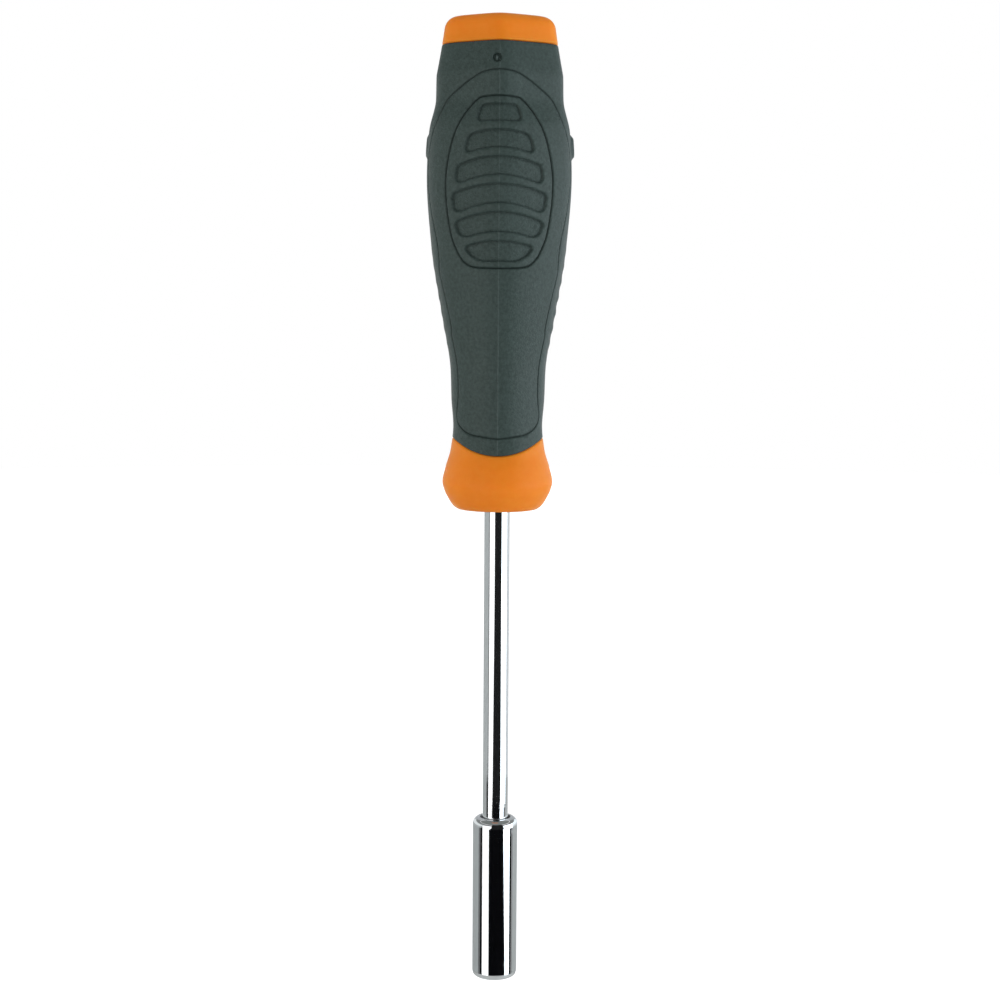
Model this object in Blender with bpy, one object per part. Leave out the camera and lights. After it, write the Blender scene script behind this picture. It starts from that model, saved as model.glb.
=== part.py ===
"""Bit holder screwdriver: a chromed bit sleeve on a round shaft, in a two-colour handle.

The tool stands upright with its working end down. The origin is the centre of the
socket's mouth, +Z runs up the shaft to the butt, and the handle's front ridge faces -Y.
"""

import math

import bmesh
import bpy
from mathutils import Matrix, Vector

# Working end
SLEEVE_LENGTH = 0.038
SLEEVE_DIAMETER = 0.0102
MOUTH_EDGE_WIDTH = 0.001
MOUTH_EDGE_LENGTH = 0.00146
SHOULDER_ROUNDING = 0.0014
SOCKET_ACROSS_FLATS = 0.00645
SOCKET_DEPTH = 0.0135
SOCKET_LEAD_IN = 0.0002
RING_WIRE = 0.0008
RING_PROUD = 0.0001
RING_SETBACK = 0.0035
RING_SPLIT_DEGREES = 40.0
MAGNET_DIAMETER = 0.005
MAGNET_HEIGHT = 0.0032
MAGNET_CHAMFER = 0.0003

# Shaft
SHAFT_DIAMETER = 0.006
SHAFT_EXPOSED = 0.0725
SHAFT_IN_HANDLE = 0.062
SHAFT_CHAMFER = 0.0006
SHAFT_MOUTH_GAP = 0.00055
SHAFT_MOUTH_DEPTH = 0.0012
WING_SPAN = 0.0094
WING_THICKNESS = 0.0016
WING_LENGTH = 0.012
WING_SETBACK = 0.006

# Handle, flat to flat, from the collar's foot up to the butt
HANDLE_LENGTH = 0.1095
FOOT_WIDTH = 0.0203
COLLAR_WIDTH = 0.02515
NECK_WIDTH = 0.02029
BELLY_WIDTH = 0.03254
BAND_WIDTH = 0.02819
BUTT_WIDTH = 0.02397
FOOT_ROUNDING = 0.0009
COLLAR_HEIGHT = 0.0061
NECK_HEIGHT = 0.0189
BELLY_FROM_BUTT = 0.035
BAND_FROM_BUTT = 0.018
BAND_LENGTH = 0.0052
BUTT_EDGE = 0.0024
ROUND_SECTION = 2.0
WAIST_SHARPNESS = 3.0
NECK_SHARPNESS = 5.0
LOWER_GRIP_SHARPNESS = 6.0
BELLY_SHARPNESS = 7.0
BUTT_SHARPNESS = 11.0

# Grip and the parts that meet it
GRIP_WALL = 0.0025
SEAM_HEIGHT = 0.0145
SEAM_WAVE = 0.0018
SEAM_FADE = 0.012
CAP_HEIGHT = 0.0062
CAP_SPIGOT_DIAMETER = 0.012
CAP_SPIGOT_LENGTH = 0.010
FIT_GAP = 0.0002

# Relief on the grip, with heights measured down from the butt
GROOVE_WIDTH = 0.0007
GROOVE_WIRE_LIFT = 0.00015
POCKET_FROM_BUTT = 0.01975
POCKET_HEIGHT = 0.00395
POCKET_HEIGHT_GROWTH = 0.00014
POCKET_PITCH = 0.00555
POCKET_PITCH_GROWTH = 0.00017
POCKET_DEPTH = 0.00045
POCKET_CORNER = 0.0012
# Widths at the top and bottom as shares of the belly's, and how far the ends drop below the middle
POCKETS = (
    (0.243, 0.313, 0.00015, 0.00000),
    (0.390, 0.464, 0.00105, 0.00160),
    (0.562, 0.596, 0.00189, 0.00235),
    (0.624, 0.630, 0.00216, 0.00275),
    (0.593, 0.541, 0.00226, 0.00180),
    (0.449, 0.298, 0.00135, 0.00010),
)
# Grooves: distance down from the butt, and degrees round from the front ridge
OVAL = (
    (0.0181, 0.0),
    (0.0184, 15.4),
    (0.0190, 19.9),
    (0.0198, 23.7),
    (0.0223, 31.0),
    (0.02695, 39.1),
    (0.0338, 44.4),
    (0.04065, 45.2),
    (0.0476, 42.5),
    (0.0511, 37.9),
    (0.0529, 33.9),
    (0.05425, 28.4),
    (0.05485, 22.8),
    (0.0552, 0.0),
)
CONTOUR = (
    (0.0125, 0.0),
    (0.0130, 14.0),
    (0.0145, 27.0),
    (0.0161, 37.3),
    (0.0177, 46.2),
    (0.0193, 51.6),
    (0.0220, 56.7),
    (0.0255, 61.9),
    (0.0310, 66.5),
    (0.0370, 67.1),
    (0.0440, 62.1),
    (0.0510, 57.5),
    (0.0560, 60.0),
    (0.0615, 56.1),
    (0.0669, 53.8),
    (0.0704, 55.8),
    (0.0812, 55.4),
    (0.0848, 57.1),
    (0.0884, 61.3),
    (0.0902, 56.2),
    (0.0919, 39.3),
    (0.0926, 17.7),
    (0.09293, 0.0),
)
SIDE_RIBS = 8
SIDE_RIB_FROM_BUTT = 0.0475
SIDE_RIB_PITCH = 0.0035
SIDE_RIB_SPAN = 0.008
SIDE_RIB_WIDTH = 0.0022
SIDE_RIB_CREST = 0.5
SIDE_RIB_PROUD = 0.0002
BADGE_FROM_BUTT = 0.0280
BADGE_DIAMETER = 0.0060
RIGHT_BADGE_PROUD = 0.0007
LEFT_BADGE_PROUD = 0.0004

SEGMENTS = 48
GRIP_RINGS = 23
SPOOL_RINGS = 6
BADGE_SEGMENTS = 20
EDGE_STEPS = 3
HEX_SIDES = 6
EDGE_SHARE_OF_WALL = 0.9
SMOOTH_BELOW = math.radians(32)

HANDLE_BASE = SLEEVE_LENGTH + SHAFT_EXPOSED
CAP_SEAM = HANDLE_LENGTH - CAP_HEIGHT
SHAFT_END = SOCKET_DEPTH + MAGNET_HEIGHT + 2 * FIT_GAP


def blend(low, high, share):
    return low + share * (high - low)


def handle_stations():
    """Height above the collar's foot, half width and section sharpness, going up."""
    belly = HANDLE_LENGTH - BELLY_FROM_BUTT
    band_low = HANDLE_LENGTH - BAND_FROM_BUTT
    band_high = band_low + BAND_LENGTH
    widths = (
        (0.0, FOOT_WIDTH - 2 * FOOT_ROUNDING, ROUND_SECTION),
        (0.11 * COLLAR_HEIGHT, FOOT_WIDTH, ROUND_SECTION),
        (0.44 * COLLAR_HEIGHT, blend(FOOT_WIDTH, COLLAR_WIDTH, 0.526), ROUND_SECTION),
        (0.67 * COLLAR_HEIGHT, blend(FOOT_WIDTH, COLLAR_WIDTH, 0.803), ROUND_SECTION),
        (COLLAR_HEIGHT, COLLAR_WIDTH, ROUND_SECTION),
        (blend(COLLAR_HEIGHT, NECK_HEIGHT, 0.25), blend(COLLAR_WIDTH, NECK_WIDTH, 0.272), ROUND_SECTION),
        (blend(COLLAR_HEIGHT, NECK_HEIGHT, 0.58), blend(COLLAR_WIDTH, NECK_WIDTH, 0.765), WAIST_SHARPNESS),
        (NECK_HEIGHT, NECK_WIDTH, NECK_SHARPNESS),
        (blend(NECK_HEIGHT, belly, 0.11), blend(NECK_WIDTH, BELLY_WIDTH, 0.071), NECK_SHARPNESS),
        (blend(NECK_HEIGHT, belly, 0.227), blend(NECK_WIDTH, BELLY_WIDTH, 0.106), NECK_SHARPNESS),
        (blend(NECK_HEIGHT, belly, 0.442), blend(NECK_WIDTH, BELLY_WIDTH, 0.415), NECK_SHARPNESS),
        (blend(NECK_HEIGHT, belly, 0.73), blend(NECK_WIDTH, BELLY_WIDTH, 0.832), LOWER_GRIP_SHARPNESS),
        (belly, BELLY_WIDTH, BELLY_SHARPNESS),
        (blend(belly, band_low, 0.59), blend(BELLY_WIDTH, BAND_WIDTH, 0.22), BELLY_SHARPNESS),
        (band_low, blend(BELLY_WIDTH, BAND_WIDTH, 0.949), BUTT_SHARPNESS),
        (band_high, BAND_WIDTH, BUTT_SHARPNESS),
        (blend(band_high, HANDLE_LENGTH, 0.11), blend(BAND_WIDTH, BUTT_WIDTH, 0.123), BUTT_SHARPNESS),
        (blend(band_high, HANDLE_LENGTH, 0.515), blend(BAND_WIDTH, BUTT_WIDTH, 0.557), BUTT_SHARPNESS),
        (HANDLE_LENGTH, BUTT_WIDTH, BUTT_SHARPNESS),
    )
    return [(height, width / 2, sharpness) for height, width, sharpness in widths]


def smooth_value(points, at):
    """Value at a place on the smooth curve through (place, value) points, with no overshoot."""
    at = min(max(at, points[0][0]), points[-1][0])
    steps = [(b[1] - a[1]) / (b[0] - a[0]) for a, b in zip(points, points[1:])]
    slopes = [steps[0]]
    for before, after in zip(steps, steps[1:]):
        turning = before * after <= 0
        slopes.append(0.0 if turning else 2 * before * after / (before + after))
    slopes.append(steps[-1])
    span = next(i for i in range(len(steps)) if at <= points[i + 1][0])
    (start, low), (end, high) = points[span], points[span + 1]
    width = end - start
    t = (at - start) / width
    return (
        low * (1 + 2 * t) * (1 - t) ** 2
        + high * t * t * (3 - 2 * t)
        + width * t * (1 - t) * (slopes[span] * (1 - t) - slopes[span + 1] * t)
    )


HALF_WIDTHS = [(height, half) for height, half, _ in handle_stations()]
SHARPNESSES = [(height, sharpness) for height, _, sharpness in handle_stations()]


def polygon_radius(angle, half, sharpness):
    """Radius of a rounded hexagon with flats at +X and -X; a sharpness of 2 is a circle."""

    def spread(direction):
        reach = [math.cos(direction - math.radians(60 * side)) for side in range(HEX_SIDES)]
        return sum(max(0.0, value) ** sharpness for value in reach)

    return half * (spread(0.0) / spread(angle)) ** (1 / sharpness)


def handle_point(angle, height, inset=0.0):
    """Point on the handle's outer form, or the inset below it, above the collar's foot."""
    half = smooth_value(HALF_WIDTHS, height) - inset
    radius = polygon_radius(angle, half, smooth_value(SHARPNESSES, height))
    return Vector((radius * math.cos(angle), radius * math.sin(angle), height))


def angle_of(index):
    return 2 * math.pi * index / SEGMENTS


def circle(radius, height):
    return [
        Vector((radius * math.cos(angle_of(i)), radius * math.sin(angle_of(i)), height))
        for i in range(SEGMENTS)
    ]


def hexagon(across_flats, height):
    """Ring on a true hexagon with flats at +X and -X."""
    ring = []
    for index in range(SEGMENTS):
        angle = angle_of(index)
        off_flat = (angle + math.pi / HEX_SIDES) % (2 * math.pi / HEX_SIDES) - math.pi / HEX_SIDES
        radius = across_flats / 2 / math.cos(off_flat)
        ring.append(Vector((radius * math.cos(angle), radius * math.sin(angle), height)))
    return ring


def seam_rise(angle, height):
    """The grip's lower edge dips at the front and back ridges, and the dip fades out upwards."""
    share = min(max(1 - (height - SEAM_HEIGHT) / SEAM_FADE, 0.0), 1.0)
    return SEAM_WAVE * share * math.cos(2 * angle)


def handle_ring(height, inset=0.0, wavy=False):
    ring = []
    for index in range(SEGMENTS):
        angle = angle_of(index)
        rise = seam_rise(angle, height) if wavy else 0.0
        ring.append(handle_point(angle, height + rise, inset))
    return ring


def spaced(start, end, count):
    return [blend(start, end, i / count) for i in range(count + 1)]


QUARTER_TURN = spaced(0.0, math.pi / 2, EDGE_STEPS)


def lofted(rings, closed=False):
    """A skin through the rings, capped at its two ends or closed from the last ring to the first."""
    bm = bmesh.new()
    count = len(rings[0])
    verts = bmesh.ops.create_circle(bm, segments=count, radius=1.0)["verts"]
    verts.sort(key=lambda vert: math.atan2(vert.co.y, vert.co.x) % (2 * math.pi))
    start = loop = [bm.edges.get((verts[i - 1], verts[i])) for i in range(count)]
    for vert, place in zip(verts, rings[0]):
        vert.co = place
    for ring in rings[1:]:
        grown = bmesh.ops.extrude_edge_only(bm, edges=loop)["geom"]
        fresh = {item for item in grown if isinstance(item, bmesh.types.BMVert)}
        around = [{edge.other_vert(vert) for edge in vert.link_edges} for vert in verts]
        verts = [(fresh & near).pop() for near in around]
        loop = [bm.edges.get((verts[i - 1], verts[i])) for i in range(count)]
        for vert, place in zip(verts, ring):
            vert.co = place
    if closed:
        bmesh.ops.bridge_loops(bm, edges=loop + start)
    else:
        bmesh.ops.contextual_create(bm, geom=start)
        bmesh.ops.contextual_create(bm, geom=loop)
    return facing_out(bm)


def facing_out(bm):
    """The closed mesh with every face turned outwards."""
    bmesh.ops.recalc_face_normals(bm, faces=bm.faces)
    if bm.calc_volume(signed=True) < 0:
        bmesh.ops.reverse_faces(bm, faces=bm.faces)
    return bm


def made(name, bm, finish=None, height=0.0):
    """An object of this mesh at a height on the axis; with no finish it is a hidden cutter."""
    mesh = bpy.data.meshes.new(name)
    bm.to_mesh(mesh)
    bm.free()
    obj = bpy.data.objects.new(name, mesh)
    obj.location.z = height
    bpy.context.scene.collection.objects.link(obj)
    if finish is None:
        obj.hide_render = True
        obj.display_type = "WIRE"
    else:
        mesh.materials.append(finish)
        mesh.shade_smooth()
        mesh.set_sharp_from_angle(angle=SMOOTH_BELOW)
    return obj


def combine(obj, other, operation):
    step = obj.modifiers.new(f"{operation.lower()} {other.name}", "BOOLEAN")
    step.operation = operation
    step.object = other
    step.solver = "EXACT"


def finish(name, colour, roughness, metallic):
    material = bpy.data.materials.new(name)
    material.use_nodes = True
    shader = material.node_tree.nodes["Principled BSDF"]
    shader.inputs["Base Color"].default_value = (*colour, 1.0)
    shader.inputs["Roughness"].default_value = roughness
    shader.inputs["Metallic"].default_value = metallic
    return material


def rounded_edge(radius, width, length, height):
    """Rings of a rounded edge, from the end face at this height out to the full radius."""
    return [
        circle(radius - width * (1 - math.sin(turn)), height + length * (1 - math.cos(turn)))
        for turn in QUARTER_TURN
    ]


def build_bit_sleeve(chrome):
    """Steel sleeve: hex socket with a ring groove, magnet seat, shaft bore and rounded ends."""
    outer = SLEEVE_DIAMETER / 2
    groove_half = RING_WIRE / 2 + FIT_GAP
    groove_radius = SOCKET_ACROSS_FLATS / 2 - RING_PROUD + RING_WIRE + FIT_GAP
    seat_radius = MAGNET_DIAMETER / 2 + FIT_GAP
    bore_radius = SHAFT_DIAMETER / 2 + FIT_GAP
    mouth_radius = SHAFT_DIAMETER / 2 + SHAFT_MOUTH_GAP
    seat_end = SOCKET_DEPTH + MAGNET_HEIGHT + FIT_GAP
    lead_in = SOCKET_ACROSS_FLATS + 2 * SOCKET_LEAD_IN
    mouth_wall = outer - lead_in / 2 / math.cos(math.pi / HEX_SIDES)
    mouth_edge = min(MOUTH_EDGE_WIDTH, EDGE_SHARE_OF_WALL * mouth_wall)
    shoulder = min(SHOULDER_ROUNDING, EDGE_SHARE_OF_WALL * (outer - mouth_radius))
    rings = rounded_edge(outer, mouth_edge, MOUTH_EDGE_LENGTH, 0.0)
    rings += rounded_edge(outer, shoulder, -shoulder, SLEEVE_LENGTH)[::-1]
    rings += [
        circle(mouth_radius, SLEEVE_LENGTH),
        circle(bore_radius, SLEEVE_LENGTH - SHAFT_MOUTH_DEPTH),
        circle(bore_radius, seat_end),
        circle(seat_radius, seat_end),
        circle(seat_radius, SOCKET_DEPTH),
        hexagon(SOCKET_ACROSS_FLATS, SOCKET_DEPTH),
        hexagon(SOCKET_ACROSS_FLATS, RING_SETBACK + groove_half),
        circle(groove_radius, RING_SETBACK + groove_half),
        circle(groove_radius, RING_SETBACK - groove_half),
        hexagon(SOCKET_ACROSS_FLATS, RING_SETBACK - groove_half),
        hexagon(SOCKET_ACROSS_FLATS, SOCKET_LEAD_IN),
        hexagon(lead_in, 0.0),
    ]
    return made("bit_sleeve", lofted(rings, closed=True), chrome)


def build_retaining_ring(spring_steel):
    """Split ring of round wire, proud of the hex flats so that it snaps into a bit's notches."""
    bm = bmesh.new()
    ring_radius = SOCKET_ACROSS_FLATS / 2 - RING_PROUD + RING_WIRE / 2
    wire = bmesh.ops.create_circle(bm, segments=8, radius=RING_WIRE / 2, cap_ends=True)["verts"]
    bmesh.ops.rotate(bm, verts=wire, cent=(0, 0, 0), matrix=Matrix.Rotation(math.pi / 2, 3, "X"))
    bmesh.ops.translate(bm, verts=wire, vec=(ring_radius, 0, 0))
    bmesh.ops.spin(
        bm,
        geom=bm.verts[:] + bm.edges[:] + bm.faces[:],
        cent=(0, 0, 0),
        axis=(0, 0, 1),
        angle=math.radians(360 - RING_SPLIT_DEGREES),
        steps=28,
    )
    return made("retaining_ring", facing_out(bm), spring_steel, RING_SETBACK)


def build_magnet(nickel):
    radius = MAGNET_DIAMETER / 2
    rings = [
        circle(radius - MAGNET_CHAMFER, 0.0),
        circle(radius, MAGNET_CHAMFER),
        circle(radius, MAGNET_HEIGHT - MAGNET_CHAMFER),
        circle(radius - MAGNET_CHAMFER, MAGNET_HEIGHT),
    ]
    return made("magnet", lofted(rings), nickel, SOCKET_DEPTH)


def wing_box(clearance):
    """The flat pressed-out wings of the shaft, or the room for them in the handle."""
    bm = bmesh.new()
    bmesh.ops.create_cube(bm, size=1.0)
    size = (
        WING_SPAN + 2 * clearance,
        WING_THICKNESS + 2 * clearance,
        WING_LENGTH + 2 * clearance,
    )
    bmesh.ops.scale(bm, verts=bm.verts, vec=size)
    return bm


def build_shaft(chrome):
    """Round rod from the magnet to inside the handle, with two wings that stop it turning."""
    radius = SHAFT_DIAMETER / 2
    length = HANDLE_BASE + SHAFT_IN_HANDLE - SHAFT_END
    rings = [
        circle(radius - SHAFT_CHAMFER, 0.0),
        circle(radius, SHAFT_CHAMFER),
        circle(radius, length - SHAFT_CHAMFER),
        circle(radius - SHAFT_CHAMFER, length),
    ]
    shaft = made("shaft", lofted(rings), chrome, SHAFT_END)
    wing_height = HANDLE_BASE + SHAFT_IN_HANDLE - WING_SETBACK - WING_LENGTH / 2
    combine(shaft, made("shaft_wings", wing_box(0.0), None, wing_height), "UNION")
    return shaft


def spool_heights():
    return spaced(SEAM_HEIGHT, CAP_SEAM - FIT_GAP, SPOOL_RINGS)


def build_handle_core(orange):
    """Collar and waisted spool in one moulding, bored for the shaft below and the cap above."""
    bore_radius = SHAFT_DIAMETER / 2 + FIT_GAP
    spigot_bore = CAP_SPIGOT_DIAMETER / 2 + FIT_GAP
    top = CAP_SEAM - FIT_GAP
    rings = [
        circle(bore_radius, SHAFT_IN_HANDLE + FIT_GAP),
        circle(bore_radius, 0.0),
    ]
    rings += [handle_ring(height) for height in spaced(0.0, COLLAR_HEIGHT, 7)]
    rings += [handle_ring(blend(COLLAR_HEIGHT, SEAM_HEIGHT, share)) for share in (0.25, 0.5)]
    rings += [handle_ring(SEAM_HEIGHT, wavy=True)]
    rings += [handle_ring(height, GRIP_WALL, wavy=True) for height in spool_heights()]
    rings += [
        circle(spigot_bore, top),
        circle(spigot_bore, top - CAP_SPIGOT_LENGTH - FIT_GAP),
    ]
    core = made("handle_core", lofted(rings), orange, HANDLE_BASE)
    wing_height = HANDLE_BASE + SHAFT_IN_HANDLE - WING_SETBACK - WING_LENGTH / 2
    combine(core, made("wing_room", wing_box(FIT_GAP), None, wing_height), "DIFFERENCE")
    return core


def build_end_cap(orange):
    """Butt piece with a spigot that plugs the core's rear bore."""
    spigot = CAP_SPIGOT_DIAMETER / 2
    rings = [
        circle(spigot, CAP_SEAM - CAP_SPIGOT_LENGTH),
        circle(spigot, CAP_SEAM),
        handle_ring(CAP_SEAM),
    ]
    for turn in QUARTER_TURN:
        height = HANDLE_LENGTH - BUTT_EDGE * (1 - math.sin(turn))
        rings.append(handle_ring(height, BUTT_EDGE * (1 - math.cos(turn))))
    return made("end_cap", lofted(rings), orange, HANDLE_BASE)


def groove_path(half, steps):
    """Closed groove line as (angle from the front ridge, height), with no point on the ridge itself."""
    down = [Vector((math.radians(angle), HANDLE_LENGTH - drop)) for drop, angle in half]
    points = down + [Vector((-point.x, point.y)) for point in reversed(down[1:-1])]
    count = len(points)
    path = []
    for i in range(count):
        before, start, end, after = (points[(i + k) % count] for k in (-1, 0, 1, 2))
        for step in range(steps):
            place = catmull(before, start, end, after, (step + 0.5) / steps)
            path.append((place.x, place.y))
    return path


def catmull(before, start, end, after, t):
    return 0.5 * (
        2 * start
        + (end - before) * t
        + (2 * before - 5 * start + 4 * end - after) * t ** 2
        + (3 * start - before - 3 * end + after) * t ** 3
    )


def groove(path, facing):
    """A square wire laid cornerwise along a closed path, with its middle lifted above the surface."""
    centres = [handle_point(facing + angle, height) for angle, height in path]
    reach = GROOVE_WIDTH / 2 + GROOVE_WIRE_LIFT
    rings = []
    for before, centre, after in zip(centres[-1:] + centres, centres, centres[1:] + centres[:1]):
        along = (after - before).normalized()
        across = along.cross(Vector((centre.x, centre.y, 0.0))).normalized()
        outward = across.cross(along)
        middle = centre + GROOVE_WIRE_LIFT * outward
        sides = (across, outward, -across, -outward)
        rings.append([middle + reach * side for side in sides])
    return lofted(rings, closed=True)


def pockets():
    """Prisms through the front and back of the grip, one for each thumb pocket."""
    bm = bmesh.new()
    near = 0.3 * NECK_WIDTH
    far = BELLY_WIDTH
    steps = 5
    top = HANDLE_LENGTH - POCKET_FROM_BUTT
    for number, (top_share, bottom_share, top_drop, bottom_drop) in enumerate(POCKETS):
        top_half = top_share * BELLY_WIDTH / 2
        bottom_half = bottom_share * BELLY_WIDTH / 2
        bottom = top - POCKET_HEIGHT - number * POCKET_HEIGHT_GROWTH
        for facing in (-1, 1):
            upper = [
                Vector((top_half * s, facing * near, top - top_drop * s * s))
                for s in (1 - 2 * i / steps for i in range(steps + 1))
            ]
            lower = [
                Vector((-bottom_half * s, facing * near, bottom - bottom_drop * s * s))
                for s in (1 - 2 * i / steps for i in range(steps + 1))
            ]
            outline = [bm.verts.new(place) for place in upper + lower]
            corners = [outline[0], outline[steps], outline[steps + 1], outline[-1]]
            face = bm.faces.new(outline)
            grown = bmesh.ops.extrude_face_region(bm, geom=[face], use_keep_orig=True)["geom"]
            fresh = [item for item in grown if isinstance(item, bmesh.types.BMVert)]
            bmesh.ops.translate(bm, verts=fresh, vec=(0, facing * (far - near), 0))
            posts = [
                edge
                for corner in corners
                for edge in corner.link_edges
                if abs(edge.verts[0].co.y - edge.verts[1].co.y) > near / 2
            ]
            bmesh.ops.bevel(
                bm,
                geom=posts,
                offset=POCKET_CORNER,
                segments=3,
                profile=0.5,
                affect="EDGES",
                material=-1,
            )
        top -= POCKET_PITCH + number * POCKET_PITCH_GROWTH
    return facing_out(bm)


def side_details():
    """Anti-slip ribs on both side flats, and a bare raised button above them."""
    bm = bmesh.new()
    for side in (-1, 1):
        for number in range(SIDE_RIBS):
            height = HANDLE_LENGTH - SIDE_RIB_FROM_BUTT - number * SIDE_RIB_PITCH
            reach = smooth_value(HALF_WIDTHS, height) + SIDE_RIB_PROUD
            verts = bmesh.ops.create_cube(bm, size=1.0)["verts"]
            crest = [vert for vert in verts if vert.co.x * side > 0]
            bmesh.ops.scale(bm, verts=crest, vec=(1.0, 1.0, SIDE_RIB_CREST))
            bmesh.ops.scale(bm, verts=verts, vec=(GRIP_WALL / 2, SIDE_RIB_SPAN, SIDE_RIB_WIDTH))
            bmesh.ops.translate(bm, verts=verts, vec=(side * (reach - GRIP_WALL / 4), 0, height))
    half_step = Matrix.Rotation(math.pi / BADGE_SEGMENTS, 3, "Z")
    height = HANDLE_LENGTH - BADGE_FROM_BUTT
    for side, proud in ((1, RIGHT_BADGE_PROUD), (-1, LEFT_BADGE_PROUD)):
        reach = smooth_value(HALF_WIDTHS, height) + proud
        badge = bmesh.ops.create_cone(
            bm,
            cap_ends=True,
            segments=BADGE_SEGMENTS,
            radius1=BADGE_DIAMETER / 2,
            radius2=BADGE_DIAMETER / 2 - proud,
            depth=GRIP_WALL / 2,
        )["verts"]
        facing_side = Matrix.Rotation(side * math.pi / 2, 3, "Y")
        bmesh.ops.rotate(bm, verts=badge, cent=(0, 0, 0), matrix=facing_side @ half_step)
        bmesh.ops.translate(bm, verts=badge, vec=(side * (reach - GRIP_WALL / 4), 0, height))
    return bm


def build_grip(rubber):
    """Soft shell over the spool, flush with the collar and the cap, with its relief cut in."""
    lowest = SEAM_HEIGHT + FIT_GAP
    top = CAP_SEAM - FIT_GAP
    outside = [handle_ring(height, 0.0, wavy=True) for height in spaced(lowest, top, GRIP_RINGS)]
    inside = [handle_ring(height, GRIP_WALL - FIT_GAP, wavy=True) for height in spool_heights()[1:]]
    inside.insert(0, handle_ring(lowest, GRIP_WALL - FIT_GAP, wavy=True))
    grip = made("grip", lofted(outside + inside[::-1], closed=True), rubber, HANDLE_BASE)
    floor_heights = spaced(NECK_HEIGHT, top, GRIP_RINGS)
    floor = lofted([handle_ring(height, POCKET_DEPTH) for height in floor_heights])
    pocket_floor = made("pocket_floor", floor, None, HANDLE_BASE)
    pocket_cutter = made("pocket_cutter", pockets(), None, HANDLE_BASE)
    combine(pocket_cutter, pocket_floor, "DIFFERENCE")
    combine(grip, made("side_details", side_details(), None, HANDLE_BASE), "UNION")
    combine(grip, pocket_cutter, "DIFFERENCE")
    for kind, path in (("oval", groove_path(OVAL, 2)), ("contour", groove_path(CONTOUR, 1))):
        for side, facing in (("front", -math.pi / 2), ("back", math.pi / 2)):
            cutter = made(f"{side}_{kind}_groove", groove(path, facing), None, HANDLE_BASE)
            combine(grip, cutter, "DIFFERENCE")
    return grip


def main():
    for obj in list(bpy.data.objects):
        bpy.data.objects.remove(obj)
    chrome = finish("bright chrome", (0.80, 0.81, 0.82), 0.08, 1.0)
    spring_steel = finish("spring steel", (0.45, 0.45, 0.46), 0.30, 1.0)
    nickel = finish("nickel plate", (0.62, 0.60, 0.56), 0.25, 1.0)
    orange = finish("orange plastic", (0.78, 0.20, 0.01), 0.40, 0.0)
    rubber = finish("slate rubber", (0.040, 0.060, 0.056), 0.68, 0.0)
    tool = bpy.data.objects.new("screwdriver", None)
    bpy.context.scene.collection.objects.link(tool)
    pieces = (
        build_bit_sleeve(chrome),
        build_retaining_ring(spring_steel),
        build_magnet(nickel),
        build_shaft(chrome),
        build_handle_core(orange),
        build_end_cap(orange),
        build_grip(rubber),
    )
    for piece in pieces:
        piece.parent = tool


main()
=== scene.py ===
"""Bit holder screwdriver, dressed for its picture: fine shapes, finishes, light and camera.

The tool stands upright with its working end down, and the handle's front ridge faces -Y.
Heights on the handle are measured up from the collar's foot, or down from the butt.
"""

import math

import bmesh
import bpy
import numpy as np
from mathutils import Matrix, Vector
from mathutils.kdtree import KDTree


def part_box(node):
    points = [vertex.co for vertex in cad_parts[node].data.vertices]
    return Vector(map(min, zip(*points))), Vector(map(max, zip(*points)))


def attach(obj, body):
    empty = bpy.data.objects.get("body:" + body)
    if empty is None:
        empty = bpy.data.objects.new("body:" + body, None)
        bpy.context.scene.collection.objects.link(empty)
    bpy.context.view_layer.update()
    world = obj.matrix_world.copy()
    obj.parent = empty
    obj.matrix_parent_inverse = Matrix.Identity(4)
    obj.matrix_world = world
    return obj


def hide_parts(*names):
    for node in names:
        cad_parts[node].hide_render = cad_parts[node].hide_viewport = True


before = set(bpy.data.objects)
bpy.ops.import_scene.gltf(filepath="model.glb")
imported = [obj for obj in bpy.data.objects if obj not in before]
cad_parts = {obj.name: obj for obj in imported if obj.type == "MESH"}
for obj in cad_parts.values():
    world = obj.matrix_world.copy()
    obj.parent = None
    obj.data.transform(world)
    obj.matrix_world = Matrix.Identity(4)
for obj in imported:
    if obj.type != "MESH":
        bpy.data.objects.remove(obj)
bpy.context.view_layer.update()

# Places and sizes that the frame gives, with the sleeve drawn a little wider than its solid
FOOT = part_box("handle_core")[0].z
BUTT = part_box("end_cap")[1].z
HANDLE_LENGTH = BUTT - FOOT
CAP_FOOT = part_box("end_cap")[0].z - FOOT
GRIP_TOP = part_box("grip")[1].z - FOOT
SLEEVE_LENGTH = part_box("bit_sleeve")[1].z
SLEEVE_WIDENING = 1.045
SLEEVE_RADIUS = SLEEVE_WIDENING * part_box("bit_sleeve")[1].y
SHAFT_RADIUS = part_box("shaft")[1].y
SHAFT_LOW, SHAFT_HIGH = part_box("shaft")[0].z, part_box("shaft")[1].z
MAGNET_LOW, MAGNET_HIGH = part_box("magnet")[0].z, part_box("magnet")[1].z
MAGNET_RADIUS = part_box("magnet")[1].y
RING_LOW, RING_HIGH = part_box("retaining_ring")[0].z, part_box("retaining_ring")[1].z

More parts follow.
